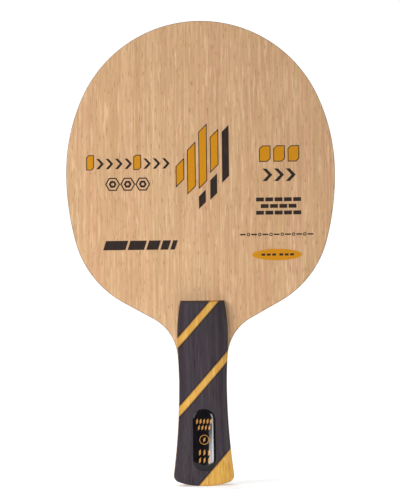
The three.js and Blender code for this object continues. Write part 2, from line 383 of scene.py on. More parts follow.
def ply_rings(low, high, recess):
    """Rings of an inner ply, whose edges are eased so that the glue lines show as fine grooves."""
    return [
        level_ring(recess + PLY_EASE, low),
        level_ring(recess, low + PLY_EASE),
        level_ring(recess, high - PLY_EASE),
        level_ring(recess + PLY_EASE, high),
    ]


def face_veneer_rings(glued, shown):
    """Rings of a face veneer from its glued side to the side that shows, whose edge is sanded round."""
    towards_face = 1 if shown > glued else -1
    rounds = [edge_round_at(z) for x, z in OUTLINE]
    rings = [level_ring(PLY_EASE, glued), level_ring(0, glued + towards_face * PLY_EASE)]
    for step in range(EDGE_STEPS + 1):
        turn = pi / 2 * step / EDGE_STEPS
        insets = [size * (1 - cos(turn)) for size in rounds]
        depths = [shown - towards_face * size * (1 - sin(turn)) for size in rounds]
        rings.append(outline_ring(insets, depths))
    return rings


# every ply and its material slot, from the front to the rear
PLIES = (
    ("front_face_veneer", "face_veneer"),
    ("front_carbon_ply", "carbon_ply"),
    ("front_middle_veneer", "middle_veneer"),
    ("core_ply", "core_wood"),
    ("rear_middle_veneer", "middle_veneer"),
    ("rear_carbon_ply", "carbon_ply"),
    ("rear_face_veneer", "face_veneer"),
)


def make_plies(materials):
    for name, slot in PLIES:
        low, high = node_box(name)
        if name == "front_face_veneer":
            rings = face_veneer_rings(high.y, low.y)
        elif name == "rear_face_veneer":
            rings = face_veneer_rings(low.y, high.y)
        else:
            rings = ply_rings(low.y, high.y, CARBON_RECESS if slot == "carbon_ply" else 0)
        finish_node(name, mesh_from(name, *stacked_rings(rings)), materials, slot)


# ------------ handle scales


def half_width(height):
    """Half the scales' width: they flare below the waist, bulge above it and narrow towards the head."""
    if height < WAIST_HEIGHT:
        return WAIST_HALF_WIDTH + FLARE_RADIUS - sqrt(FLARE_RADIUS**2 - (WAIST_HEIGHT - height) ** 2)
    if height < SCALE_WIDEST_HEIGHT:
        share = smooth_step(WAIST_HEIGHT, SCALE_WIDEST_HEIGHT, height)
        return blend_between(WAIST_HALF_WIDTH, SCALE_WIDEST_HALF, share)
    share = (height - SCALE_WIDEST_HEIGHT) / (SCALE_LENGTH - SCALE_WIDEST_HEIGHT)
    return blend_between(SCALE_WIDEST_HALF, SCALE_TOP_HALF, share**2)


def half_thickness(height):
    share = max(0, 1 - height / WAIST_HEIGHT)
    return blend_between(WAIST_HALF_THICKNESS, BUTT_HALF_THICKNESS, share**2)


def scale_section():
    """The section at the waist as points (x, depth) with the directions out of it, from one side over the
    crown to the other. It starts below the glue line, where the scale is cut off flat."""
    corner = SECTION_CORNER_RADIUS
    crown = SECTION_CROWN_RADIUS
    turn = asin((WAIST_HALF_WIDTH - corner) / (crown - corner))
    crown_depth = WAIST_HALF_THICKNESS - crown
    corner_depth = crown_depth + (crown - corner) * cos(turn)
    start_depth = BLADE_FACE - BELOW_GLUE_LINE
    section = []
    for step in range(SIDE_STEPS):
        depth = blend_between(start_depth, corner_depth, step / SIDE_STEPS)
        section.append(((WAIST_HALF_WIDTH, depth), (1, 0)))
    for step in range(CORNER_STEPS):
        angle = (pi / 2 - turn) * step / CORNER_STEPS
        point = (WAIST_HALF_WIDTH - corner + corner * cos(angle), corner_depth + corner * sin(angle))
        section.append((point, (cos(angle), sin(angle))))
    for step in range(CROWN_STEPS + 1):
        angle = pi / 2 - turn + turn * step / CROWN_STEPS
        section.append(((crown * cos(angle), crown_depth + crown * sin(angle)), (cos(angle), sin(angle))))
    other_side = [((-x, depth), (-out_x, out_depth)) for (x, depth), (out_x, out_depth) in section[-2::-1]]
    return section + other_side


def stretch_at(height):
    """How far the waist's section is stretched in width and depth at a height."""
    wide = half_width(height) / WAIST_HALF_WIDTH
    deep = (half_thickness(height) - BLADE_FACE) / (WAIST_HALF_THICKNESS - BLADE_FACE)
    return wide, deep


def scale_surface(section_point, height):
    """A point of the swept scale and the direction out of it, as (x, depth, z)."""
    (x, depth), (out_x, out_depth) = section_point
    wide, deep = stretch_at(height)
    wide_above, deep_above = stretch_at(height + SLOPE_STEP)
    wide_slope = (wide_above - wide) / SLOPE_STEP
    deep_slope = (deep_above - deep) / SLOPE_STEP
    place = Vector((x * wide, BLADE_FACE + (depth - BLADE_FACE) * deep, height))
    across = Vector((out_x / wide, out_depth / deep))
    lean = across.x * x * wide_slope + across.y * (depth - BLADE_FACE) * deep_slope
    return place, Vector((across.x, across.y, -lean)).normalized()


def crossing(gap, low, high):
    """The height between low and high at which gap, which falls as the height rises, is zero."""
    for _ in range(CROSSING_ROUNDS):
        middle = (low + high) / 2
        if gap(middle) > 0:
            low = middle
        else:
            high = middle
    return (low + high) / 2


def end_face():
    """A point on the scales' steep end face by the head, and the direction out of it."""
    rise = WAIST_HALF_THICKNESS - BLADE_FACE
    return Vector((0, BLADE_FACE, SCALE_LENGTH)), Vector((0, SCALE_END_RUN, rise)).normalized()


def ball_centre(section_point, height, radius):
    place, outward = scale_surface(section_point, height)
    return place - outward * radius


def scale_column(section_point):
    """Points up the scale along one line of its section. A ball rolls the edges round at both ends."""
    across = Vector(section_point[1])
    facing = smooth_step(0, 1, abs(across.y))
    butt_round = blend_between(BUTT_CORNER_RADIUS, BUTT_EDGE_ROUND, facing)
    end_round = blend_between(END_CORNER_ROUND, END_EDGE_ROUND, facing)
    end_point, end_outward = end_face()

    def flat_of(centre):
        return Vector((centre.x, 0, centre.z - BUTT_ARCH_RADIUS))

    def butt_gap(height):
        centre = ball_centre(section_point, height, butt_round)
        return flat_of(centre).length - (BUTT_ARCH_RADIUS - butt_round)

    def end_gap(height):
        centre = ball_centre(section_point, height, end_round)
        return -(centre - end_point).dot(end_outward) - end_round

    lowest = crossing(butt_gap, *BUTT_SEARCH)
    highest = crossing(end_gap, *END_SEARCH)
    butt_centre = ball_centre(section_point, lowest, butt_round)
    butt_outward = flat_of(butt_centre).normalized()
    end_centre = ball_centre(section_point, highest, end_round)
    low_outward = scale_surface(section_point, lowest)[1]
    high_outward = scale_surface(section_point, highest)[1]

    column = []
    for step in range(ROLL_STEPS):
        column.append(butt_centre + butt_outward.slerp(low_outward, step / ROLL_STEPS) * butt_round)
    for step in range(LENGTH_STEPS + 1):
        height = blend_between(lowest, highest, step / LENGTH_STEPS)
        column.append(scale_surface(section_point, height)[0])
    for step in range(1, ROLL_STEPS + 1):
        column.append(end_centre + high_outward.slerp(end_outward, step / ROLL_STEPS) * end_round)
    return column


def whole_scale(facing):
    """One scale in one piece as a bmesh in millimetres. facing is -1 for the front and 1 for the rear."""
    columns = [scale_column(section_point) for section_point in scale_section()]
    rows = len(columns[0])
    last = len(columns) - 1
    side = SIDE_STEPS
    solid = bmesh.new()

    def add_vertex(place):
        return solid.verts.new((-facing * place.x, facing * place.y, place.z))

    grid = [[add_vertex(place) for place in column] for column in columns]
    for left, right in zip(grid, grid[1:]):
        for row in range(rows - 1):
            solid.faces.new((left[row], right[row], right[row + 1], left[row + 1]))
    solid.faces.new([column[-1] for column in grid])

    base_depth = columns[0][0].y
    inner = range(side + 1, last - side)
    base = {}
    for index in inner:
        foot = columns[index][0]
        base[index] = add_vertex(Vector((foot.x, base_depth, foot.z)))
    for index in inner[:-1]:
        solid.faces.new((grid[index][0], grid[index + 1][0], base[index + 1], base[index]))
    solid.faces.new([grid[index][0] for index in range(inner[0] + 1)] + [base[inner[0]]])
    solid.faces.new([grid[index][0] for index in range(inner[-1], last + 1)] + [base[inner[-1]]])
    cut_off(solid, Vector((0, facing * BLADE_FACE, 0)), Vector((0, -facing, 0)))
    return solid


def cut_off(solid, place, removed_side):
    """Cuts all that lies beyond a plane off a bmesh, and closes the cut."""
    geometry = solid.verts[:] + solid.edges[:] + solid.faces[:]
    bmesh.ops.bisect_plane(
        solid, geom=geometry, dist=CUT_TOLERANCE, plane_co=place, plane_no=removed_side, clear_outer=True
    )
    open_edges = [edge for edge in solid.edges if edge.is_boundary]
    bmesh.ops.holes_fill(solid, edges=open_edges, sides=0)


def marquetry_joints():
    """Heights at which the joints cross the middle line, from the head down."""
    half_stripe = STRIPE_WIDTH / 2 / cos(INLAY_ANGLE)
    joints = []
    for height in STRIPE_HEIGHTS:
        joints += [height + half_stripe, height - half_stripe]
    return joints + [CORNER_HEIGHT]


MARQUETRY = (
    "upper_dark_wood",
    "upper_stripe",
    "middle_dark_wood",
    "lower_stripe",
    "lower_dark_wood",
    "yellow_corner",
)


def make_scale(side, facing, materials):
    whole = whole_scale(facing)
    upwards = Vector((facing * sin(INLAY_ANGLE), 0, cos(INLAY_ANGLE)))
    joints = marquetry_joints()
    for index, wood in enumerate(MARQUETRY):
        solid = whole.copy()
        if index > 0:
            upper = joints[index - 1] * cos(INLAY_ANGLE) - JOINT_GAP / 2
            cut_off(solid, upwards * upper, upwards)
        if index < len(joints):
            lower = joints[index] * cos(INLAY_ANGLE) + JOINT_GAP / 2
            cut_off(solid, upwards * lower, -upwards)
        bmesh.ops.recalc_face_normals(solid, faces=solid.faces)
        bmesh.ops.scale(solid, vec=(MM, MM, MM), verts=solid.verts)
        name = f"{side}_{wood}"
        mesh = bpy.data.meshes.new(name)
        solid.to_mesh(mesh)
        solid.free()
        if name == "front_lower_dark_wood":
            mesh = with_badge_pocket(mesh)
        slot = "dark_wood" if "dark" in wood else "yellow_wood"
        finish_node(name, mesh, materials, slot)
    whole.free()


# ------------ badge


def badge_frame():
    """The badge's own frame in millimetres: its origin is on the scale's face, and it leans with it."""
    reach = (BADGE_HIGH.z - BADGE_LOW.z) / 2
    middle = (BADGE_HIGH.z + BADGE_LOW.z) / 2
    upper = half_thickness(middle + reach)
    lower = half_thickness(middle - reach)
    place = Matrix.Translation((0, -(upper + lower) / 2, middle))
    return place @ Matrix.Rotation(-atan2(lower - upper, 2 * reach), 4, "X")


BADGE_FRAME = badge_frame()


def stadium(inset):
    """Points (x, z) of the badge's outline moved inwards, as many for every inset that leaves some width."""
    radius = BADGE_HALF_WIDTH - inset
    straight = BADGE_HALF_LENGTH - BADGE_HALF_WIDTH
    points = []
    for end in (1, -1):
        for step in range(STADIUM_ARC_STEPS):
            x, z = point_at((0, 0), radius, pi * step / STADIUM_ARC_STEPS)
            points.append((end * x, end * (z + straight)))
        for step in range(STADIUM_SIDE_STEPS):
            points.append((-end * radius, end * straight * (1 - 2 * step / STADIUM_SIDE_STEPS)))
    return points


def stadium_ring(inset, height):
    """The badge's outline at one inset. Height is out of the scale's face, and a number or a function."""
    points = []
    for x, z in stadium(inset):
        out = height(x, z) if callable(height) else height
        points.append(BADGE_FRAME @ Vector((x, -out, z)))
    return points


def badge_inset(x, z):
    """How far a point of the badge lies inside its outline."""
    beyond = max(0, abs(z) - (BADGE_HALF_LENGTH - BADGE_HALF_WIDTH))
    return BADGE_HALF_WIDTH - hypot(x, beyond)


def dome_height(x, z):
    """The resin's height: nearly level in the middle, and falling off steeply to its edge."""
    reach = 1 - badge_inset(x, z) / BADGE_HALF_WIDTH
    return DOME_EDGE_HEIGHT + DOME_RISE * (1 - min(1, max(0, reach)) ** DOME_POWER)


def badge_solid(name, levels):
    """A mesh through rings given as (inset, height)."""
    rings = [stadium_ring(inset, height) for inset, height in levels]
    return mesh_from(name, *stacked_rings(rings))


def with_badge_pocket(mesh):
    """The scale's mesh with the badge's pocket cut into it."""
    pocket = badge_solid("pocket", [(-POCKET_GAP, -POCKET_DEPTH), (-POCKET_GAP, POCKET_OVERRUN)])
    cutter = add_object("pocket_cutter", pocket)
    scale = add_object("pocket_scale", mesh)
    cut = scale.modifiers.new("pocket", "BOOLEAN")
    cut.operation = "DIFFERENCE"
    cut.solver = "EXACT"
    cut.object = cutter
    depsgraph = bpy.context.evaluated_depsgraph_get()
    result = bpy.data.meshes.new_from_object(scale.evaluated_get(depsgraph))
    bpy.data.objects.remove(scale)
    bpy.data.objects.remove(cutter)
    return result


def make_badge(materials):
    levels = [(PLATE_EASE, -PLATE_BOTTOM), (0, PLATE_EASE - PLATE_BOTTOM)]
    levels += [(0, -DOME_SINK - PLATE_EASE), (PLATE_EASE, -DOME_SINK - PLATE_EASE / 2)]
    finish_node("badge_plate", badge_solid("badge_plate", levels), materials, "badge_plate")

    levels = [(DOME_LIP, -DOME_SINK), (0, DOME_LIP - DOME_SINK), (0, DOME_EDGE_HEIGHT - DOME_LIP)]
    for step in range(1, LIP_STEPS):
        turn = pi / 2 * step / LIP_STEPS
        levels.append((DOME_LIP * (1 - cos(turn)), DOME_EDGE_HEIGHT - DOME_LIP * (1 - sin(turn))))
    for step in range(DOME_STEPS + 1):
        share = step / DOME_STEPS
        levels.append((blend_between(DOME_LIP, BADGE_HALF_WIDTH - DOME_RIDGE, share), dome_height))
    finish_node("badge_dome", badge_solid("badge_dome", levels), materials, "badge_dome")


# ------------ print

# A mark is a list of columns from left to right, or right round. Each is a list of points (x, z) from low up.


def bar(left, low, width, height, inset=0):
    """A bar whose ends slope up to the right at 45 degrees."""
    end_inset = inset * sqrt(2)
    columns = []
    for along in (inset, width - inset):
        start = low + along
        columns.append([(left + along, start + end_inset), (left + along, start + height - end_inset)])
    return columns


def tile(left, low, width, height, cut, inset=0):
    """A rectangle with its upper left and lower right corners cut off at 45 degrees."""
    small_cut = cut - inset * (2 - sqrt(2))
    x0, x1 = left + inset, left + width - inset
    z0, z1 = low + inset, low + height - inset
    return [
        [(x0, z0), (x0, z1 - small_cut)],
        [(x0 + small_cut, z0), (x0 + small_cut, z1)],
        [(x1 - small_cut, z0), (x1 - small_cut, z1)],
        [(x1, z0 + small_cut), (x1, z1)],
    ]


def slanted(left, low, width, height, lean):
    """A parallelogram that leans to the right."""
    return [[(x, low), (x + lean, low + height)] for x in (left, left + width)]


def ring(x, z, outer, inner, corners=RING_STEPS):
    """A round ring, or with fewer corners a frame that stands on one of its sides."""
    columns = []
    for step in range(corners):
        angle = 2 * pi * step / corners
        columns.append([point_at((x, z), radius, angle) for radius in (inner, outer)])
    return columns + columns[:1]


def ellipse(x, z, wide, high):
    """An ellipse as upright chords, from its left end to its right."""
    columns = []
    for step in range(ELLIPSE_STEPS + 1):
        angle = blend_between(ELLIPSE_END, pi - ELLIPSE_END, step / ELLIPSE_STEPS)
        columns.append([(x - wide * cos(angle), z + end * high * sin(angle)) for end in (-1, 1)])
    return columns


def chevron(left, low, width, height, stroke):
    """An angle that points to the right."""
    tip = left + width - stroke
    return [
        [(left, low), (left + stroke, low)],
        [(tip, low + height / 2), (tip + stroke, low + height / 2)],
        [(left, low + height), (left + stroke, low + height)],
    ]


def split_columns(columns, spacing):
    """The same mark with more columns and points, so that it can follow a curved surface."""
    rows = max(2, ceil(max(distance_between(column[0], column[-1]) for column in columns) / spacing))
    tall = []
    for low, high in columns:
        shares = [row / rows for row in range(rows + 1)]
        tall.append([blend_points(low, high, share) for share in shares])
    fine = []
    for first, second in zip(tall, tall[1:]):
        steps = max(1, ceil(distance_between(first[0], second[0]) / spacing))
        for step in range(steps):
            fine.append([blend_points(*pair, step / steps) for pair in zip(first, second)])
    return fine + tall[-1:]


def ink_layer(columns, ink_height, lay):
    """Vertices and faces of a mark as a thin closed layer. lay(x, z, height) is a point on the surface."""
    closed = columns[0] == columns[-1]
    if closed:
        columns = columns[:-1]
    rows = len(columns[0])
    vertices = []
    for height in (-INK_SINK, ink_height):
        for column in columns:
            vertices += [lay(x, z, height) for x, z in column]
    upper = len(columns) * rows
    faces = []
    pairs = len(columns) if closed else len(columns) - 1
    for index in range(pairs):
        left = index * rows
        right = (index + 1) % len(columns) * rows
        for row in range(rows - 1):
            corners = [left + row, right + row, right + row + 1, left + row + 1]
            faces.append(corners)
            faces.append([corner + upper for corner in corners])
        for row in (0, rows - 1):
            faces.append([left + row, right + row, right + row + upper, left + row + upper])
    if not closed:
        for left in (0, (len(columns) - 1) * rows):
            for row in range(rows - 1):
                faces.append([left + row, left + row + 1, left + row + 1 + upper, left + row + upper])
    return vertices, faces


def make_print(name, marks, ink_height, lay, materials, slot):
    """All marks of one colour, as one piece."""
    vertices = []
    faces = []
    for mark in marks:
        mark_vertices, mark_faces = ink_layer(mark, ink_height, lay)
        faces += [[corner + len(vertices) for corner in face] for face in mark_faces]
        vertices += mark_vertices
    finish_piece(name, mesh_from(name, vertices, faces), materials, slot)


def on_front_face(x, z, height):
    return (x, -BLADE_FACE - height, z)


def on_dome(x, z, height):
    return BADGE_FRAME @ Vector((x, -dome_height(x, z) - height, z))


# Rows of alike marks on the head: the shape, the left end of the first, the pitch, how many there are, their
# lower edge, and their width, height, and a tile's cut or a chevron's stroke. A ring's place is its middle,
# and its size is its outer and inner radius and, if it isn't round, how many corners it has.
OUTLINED_ROWS = (
    (tile, -63.8, 26.25, 2, 176.2, (4.4, 8.5, 1.4)),
    (tile, 32.6, 8, 3, 180, (6.5, 9.1, 1.8)),
)
BRICK = (4.4, 2.2, 0.1)
DARK_ROWS = (
    (chevron, -58.25, 5.25, 4, 176.8, (4.3, 5.8, 1.7)),
    (chevron, -32, 5.25, 3, 176.8, (4.3, 5.8, 1.7)),
    (ring, -49.2, 8.4, 3, 168.3, (4.2, 3.4, 6)),
    (ring, -49.2, 8.4, 3, 168.3, (2.2, 0.9, 6)),
    (chevron, 34.4, 6.5, 3, 169.2, (5.6, 7, 2.3)),
    (tile, 30.65, 5.2, 5, 157.9, BRICK),
    (tile, 33.25, 5.2, 4, 154.2, BRICK),
    (tile, 30.65, 5.2, 5, 150.5, BRICK),
    (tile, 21.5, 6.3, 7, 139.1, (3.2, 0.8, 0.1)),
    (ring, 26.25, 6.3, 6, 139.5, (0.95, 0.45)),
)
ELLIPSE_DASHES = (
    (tile, 33.4, 3, 3, 127.6, (2.1, 1.2, 0.1)),
    (tile, 43.4, 3, 3, 127.6, (2.1, 1.2, 0.1)),
)

# the ellipse: its middle, and half its width and height
ELLIPSE = (42.1, 128.2, 13.95, 3.2)

# the large group in the middle of the head: left end, lower edge and height of each bar
YELLOW_BARS = ((-14, 166, 12), (-7.6, 162, 25), (-1.2, 165, 32), (5.2, 174, 20))
YELLOW_BAR_WIDTH = 4.8
DARK_BARS = ((-1.2, 154, 7), (5.2, 159, 11), (11.9, 168.5, 28.5))
DARK_BAR_WIDTH = 3.9

# lower left: heavy slanted blocks, each narrower than the one before
BLOCK_WIDTHS = (12.4, 9.2, 6.6, 4.4, 2.6)
BLOCK_START = (-54.9, 131.6)
BLOCK_HEIGHT = 5.2
BLOCK_LEAN = 1.7
BLOCK_GAP = 1.2

# rows of bars on the badge: height of their middle, how many there are, the pitch and their height. The ring
# has a middle and two radii, and the bar in it a left end, a lower edge, a width and a height.
BADGE_ROWS = ((10.4, 5, 1.95, 2.2), (6.9, 4, 1.95, 2), (-6.9, 3, 2.5, 2.6), (-11.2, 3, 2.5, 2.4))
BADGE_BAR_WIDTH = 1
BADGE_RING = (0, 0.2, 2.7, 2.35)
BADGE_RING_BAR = (-0.55, -1.25, 1.1, 1.8)


def marks_in(rows, **change):
    """Every mark of some rows."""
    marks = []
    for shape, first, pitch, count, low, size in rows:
        marks += [shape(first + pitch * index, low, *size, **change) for index in range(count)]
    return marks


def make_head_print(materials):
    dark = marks_in(OUTLINED_ROWS) + marks_in(DARK_ROWS)
    yellow = marks_in(OUTLINED_ROWS, inset=OUTLINE_LINE)
    for left, low, height in YELLOW_BARS:
        dark.append(bar(left, low, YELLOW_BAR_WIDTH, height))
        yellow.append(bar(left, low, YELLOW_BAR_WIDTH, height, inset=OUTLINE_LINE))
    for left, low, height in DARK_BARS:
        dark.append(bar(left, low, DARK_BAR_WIDTH, height))
    left, low = BLOCK_START
    for width in BLOCK_WIDTHS:
        dark.append(slanted(left, low, width, BLOCK_HEIGHT, BLOCK_LEAN))
        left += width + BLOCK_GAP
    yellow.append(ellipse(*ELLIPSE))

    make_print("head_print_dark", dark, DARK_INK_HEIGHT, on_front_face, materials, "dark_ink")
    make_print("head_print_yellow", yellow, YELLOW_INK_HEIGHT, on_front_face, materials, "yellow_ink")
    dashes = marks_in(ELLIPSE_DASHES)
    make_print("ellipse_dashes", dashes, 2 * YELLOW_INK_HEIGHT, on_front_face, materials, "dark_ink")


def make_badge_print(materials):
    """Rows of short gold bars and a ring, in the badge's own frame."""
    half = BADGE_BAR_WIDTH / 2
    marks = [ring(*BADGE_RING), bar(*BADGE_RING_BAR)]
    for middle, count, pitch, height in BADGE_ROWS:
        for index in range(count):
            centre = (index - (count - 1) / 2) * pitch
            marks.append(bar(centre - half, middle - height / 2 - half, BADGE_BAR_WIDTH, height))
    fine = [split_columns(mark, DOME_PRINT_SPACING) for mark in marks]
    make_print("badge_print", fine, GOLD_INK_HEIGHT, on_dome, materials, "gold_ink")


# ------------ materials

# The face veneer has painted shade on its rounded rim: darker where the edge turns away from the face.
# Facing is 1 on the flat face and 0 on the blade's side. The painted shade is whole up to one facing and gone
# by the next. Its share rises between two more, from the side to the round.
RIM_SHADE_FACING = (0.85, 0.9995)
RIM_SHADE_SIDE_FACING = (0.05, 0.6)
RIM_SHADE_SHARES = (0.35, 0.9)

# how far from a joint of the marquetry its stain is full, and where it ends
JOINT_STAIN = (0.2, 0.75)

# how steeply the handle's ends face up or down where their end grain starts and is full, and its share
END_GRAIN_FACING = (0.45, 0.9)
END_GRAIN_SHARE = 0.6

# clear resin over the badge's print
DOME_IOR = 1.38
DOME_GLOSS = 0.07


def colour(red, green, blue):
    """A linear colour from the usual 0 to 255 values of a display."""
    linear = []
    for level in (red / 255, green / 255, blue / 255):
        linear.append(level / 12.92 if level <= 0.04045 else ((level + 0.055) / 1.055) ** 2.4)
    return (*linear, 1)


def add_node(tree, kind, inputs, **settings):
    """Adds a shader node. Its inputs are values or other nodes' sockets."""
    node = tree.nodes.new("ShaderNode" + kind)
    for name, value in settings.items():
        setattr(node, name, value)
    for socket, value in inputs.items():
        if isinstance(value, bpy.types.NodeSocket):
            tree.links.new(value, node.inputs[socket])
        else:
            node.inputs[socket].default_value = value
    return node


class Shader:
    """A Principled material, with short calls for the nodes that drive it, whose sizes are in millimetres."""

    def __init__(self, name, **fixed):
        self.material = bpy.data.materials.new(name)
        self.material.use_nodes = True
        self.tree = self.material.node_tree
        self.surface = self.tree.nodes["Principled BSDF"]
        for socket, value in fixed.items():
            self.surface.inputs[socket.replace("_", " ")].default_value = value
        texture_places = self.add("TexCoord", {})
        self.place = self.vector("MULTIPLY", texture_places.outputs["Object"], (1 / MM, 1 / MM, 1 / MM))
        self.normal = texture_places.outputs["Normal"]

    def add(self, kind, inputs, **settings):
        return add_node(self.tree, kind, inputs, **settings)

    def drive(self, socket, value):
        self.tree.links.new(value, self.surface.inputs[socket])

    def vector(self, operation, first, second):
        return self.add("VectorMath", {0: first, 1: second}, operation=operation).outputs["Vector"]

    def math(self, operation, first, second=0.0):
        return self.add("Math", {0: first, 1: second}, operation=operation).outputs[0]

    def axis(self, vector, name):
        return self.add("SeparateXYZ", {0: vector}).outputs[name]

    def noise(self, size, shift=0, detail=2, wander=0.0):
        """Noise whose features are about size long on X, Y and Z. Shift picks another stretch of it."""
        moved = self.vector("ADD", self.place, (shift, shift, shift))
        scaled = self.vector("MULTIPLY", moved, [1 / length for length in size])
        inputs = {"Vector": scaled, "Scale": 1.0, "Detail": detail, "Roughness": 0.55, "Distortion": wander}
        return self.add("TexNoise", inputs).outputs["Fac"]

    def span(self, value, low, high, to_low=0.0, to_high=1.0):
        """Value from low to high, stretched over to_low to to_high and held at both ends."""
        inputs = {"Value": value, 1: low, 2: high, 3: to_low, 4: to_high}
        return self.add("MapRange", inputs, interpolation_type="SMOOTHSTEP").outputs[0]

    def mix(self, share, first, second):
        return self.add("Mix", {0: share, 6: first, 7: second}, data_type="RGBA").outputs[2]

    def cover(self, base, tone, mask, share):
        """The base colour with a tone laid over it where the mask is, at most to a share."""
        return self.mix(self.math("MULTIPLY", mask, share), base, tone)

    def roughen(self, mask, smooth, rough):
        """Sets the roughness: smooth where the mask is 0, and rough where it is 1."""
        self.drive("Roughness", self.span(mask, 0.0, 1.0, smooth, rough))

    def finish(self, base, height=None, depth=0.0):
        """The material, once it has its colour and a bump whose full height is depth millimetres."""
        self.drive("Base Color", base)
        if height is not None:
            node = self.add("Bump", {"Strength": 1.0, "Distance": depth * MM, "Height": height})
            self.drive("Normal", node.outputs["Normal"])
        return self.material


def grain_size(across, along, axis):
    size = [across, across, across]
    size[axis] = along
    return size


def wood_grain(shader, axis, tones, seed, fleck_length):
    """Wood's colour, the height of its grain and where its pores are. axis is the way its grain runs."""

    def grain(across, along, shift, low, high, detail=2, wander=0.0):
        noise = shader.noise(grain_size(across, along, axis), seed + shift, detail, wander)
        return shader.span(noise, low, high)

    bands = grain(21, 300, 0, 0.35, 0.65, 1, 0.3)
    streaks = grain(1.9, 95, 31, 0.36, 0.68, 3, 0.15)
    fibres = grain(0.85, 38, 57, 0.36, 0.66)
    threads = grain(0.4, 16, 71, 0.34, 0.66)
    pores = grain(0.62, fleck_length, 83, 0.6, 0.74, 1)
    gleams = grain(1.1, 2.6 * fleck_length, 109, 0.56, 0.74, 1)
    first_tint = grain(3.3, 110, 137, 0.5, 0.7)
    second_tint = grain(2.7, 90, 163, 0.52, 0.72)
    layers = (
        ("first_tint", first_tint, 0.6),
        ("second_tint", second_tint, 0.6),
        ("dark", streaks, 0.42),
        ("dark", fibres, 0.48),
        ("dark", threads, 0.4),
        ("gleam", gleams, 0.45),
        ("pore", pores, 0.6),
    )
    base = shader.mix(bands, tones["light"], tones["middle"])
    for tone, mask, share in layers:
        base = shader.cover(base, tones[tone], mask, share)
    ridges = shader.math("ADD", shader.math("MULTIPLY", fibres, 0.35), shader.math("MULTIPLY", threads, 0.3))
    return base, shader.math("SUBTRACT", ridges, pores), pores


def tones_of(**levels):
    """The tones that wood_grain mixes, each given as display levels."""
    return {name: colour(*level) for name, level in levels.items()}


def face_veneer_material():
    shader = Shader("face_veneer", Specular_IOR_Level=0.3)
    tones = tones_of(
        light=(226, 187, 144), middle=(217, 176, 132), dark=(186, 143, 102), pore=(150, 106, 70),
        gleam=(238, 203, 161), first_tint=(223, 171, 137), second_tint=(212, 179, 124),
    )
    base, height, pores = wood_grain(shader, 2, tones, 0, 5)
    # painted shade on the rounded rim: a darker brown laid over the wood where the surface turns away from
    # the face
    facing = shader.math("ABSOLUTE", shader.axis(shader.normal, "Y"))
    rim = shader.span(facing, *RIM_SHADE_FACING, 1.0, 0.0)
    share = shader.span(facing, *RIM_SHADE_SIDE_FACING, *RIM_SHADE_SHARES)
    base = shader.cover(base, colour(138, 112, 90), rim, share)
    shader.roughen(pores, 0.5, 0.68)
    return shader.finish(base, height, 0.03)


def plain_wood_material(name, axis, tones, seed, fleck_length, roughness, bump):
    """Wood of an inner ply, which shows only at the sanded rim."""
    shader = Shader(name, Specular_IOR_Level=0.3)
    base, height, pores = wood_grain(shader, axis, tones, seed, fleck_length)
    shader.roughen(pores, roughness, roughness + 0.15)
    return shader.finish(base, height, bump)


def middle_veneer_material():
    tones = tones_of(
        light=(216, 186, 144), middle=(206, 172, 128), dark=(176, 136, 94), pore=(148, 108, 72),
        gleam=(226, 200, 160), first_tint=(208, 166, 130), second_tint=(204, 178, 126),
    )
    return plain_wood_material("middle_veneer", 0, tones, 300, 5, 0.62, 0.04)


def core_wood_material():
    tones = tones_of(
        light=(230, 207, 168), middle=(222, 195, 152), dark=(200, 168, 122), pore=(176, 140, 98),
        gleam=(238, 219, 184), first_tint=(224, 190, 152), second_tint=(220, 198, 146),
    )
    return plain_wood_material("core_wood", 2, tones, 500, 8, 0.66, 0.04)


def carbon_ply_material():
    """Woven carbon seen on its cut edge: tow ends, some dark and some that glint."""
    shader = Shader("carbon_ply", Specular_IOR_Level=0.5)
    tows = shader.span(shader.noise((1.1, 0.3, 1.1), 40, 1), 0.4, 0.6)
    fibres = shader.noise((0.12, 0.05, 0.12), 71, 2)
    base = shader.mix(tows, colour(34, 36, 40), colour(74, 76, 80))
    base = shader.mix(shader.span(fibres, 0.35, 0.75), base, colour(22, 22, 25))
    shader.roughen(tows, 0.55, 0.38)
    return shader.finish(base, fibres, 0.02)


def joint_nearness(shader):
    """1 on the marquetry's joints and 0 away from them. The rear scale is the front one turned round."""
    side = shader.math("SIGN", shader.axis(shader.place, "Y"))
    sideways = shader.math("MULTIPLY", shader.axis(shader.place, "X"), side)
    along = shader.math("MULTIPLY", shader.axis(shader.place, "Z"), cos(INLAY_ANGLE))
    rise = shader.math("ADD", shader.math("MULTIPLY", sideways, sin(INLAY_ANGLE)), along)
    nearest = None
    for height in marquetry_joints():
        apart = shader.math("ABSOLUTE", shader.math("SUBTRACT", rise, height * cos(INLAY_ANGLE)))
        nearest = apart if nearest is None else shader.math("MINIMUM", nearest, apart)
    return shader.span(nearest, *JOINT_STAIN, 1.0, 0.0)


def handle_wood_material(name, tones, seed, stain, stain_share, end_tone, roughness):
    """Dyed veneer of the handle: fine upright grain, darker at the joints and on the end grain."""
    shader = Shader(name, Specular_IOR_Level=0.12)
    base, height, pores = wood_grain(shader, 2, tones, seed, 9)
    base = shader.cover(base, stain, joint_nearness(shader), stain_share)
    end_grain = shader.span(shader.math("ABSOLUTE", shader.axis(shader.normal, "Z")), *END_GRAIN_FACING)
    base = shader.cover(base, end_tone, end_grain, END_GRAIN_SHARE)
    shader.roughen(pores, roughness, roughness + 0.18)
    return shader.finish(base, height, 0.035)


def dark_wood_material():
    tones = tones_of(
        light=(68, 59, 65), middle=(61, 53, 59), dark=(48, 42, 47), pore=(35, 30, 33),
        gleam=(78, 69, 74), first_tint=(75, 51, 73), second_tint=(54, 63, 59),
    )
    stain = colour(26, 18, 17)
    end_tone = colour(40, 33, 31)
    return handle_wood_material("dark_wood", tones, 700, stain, 0.85, end_tone, 0.5)


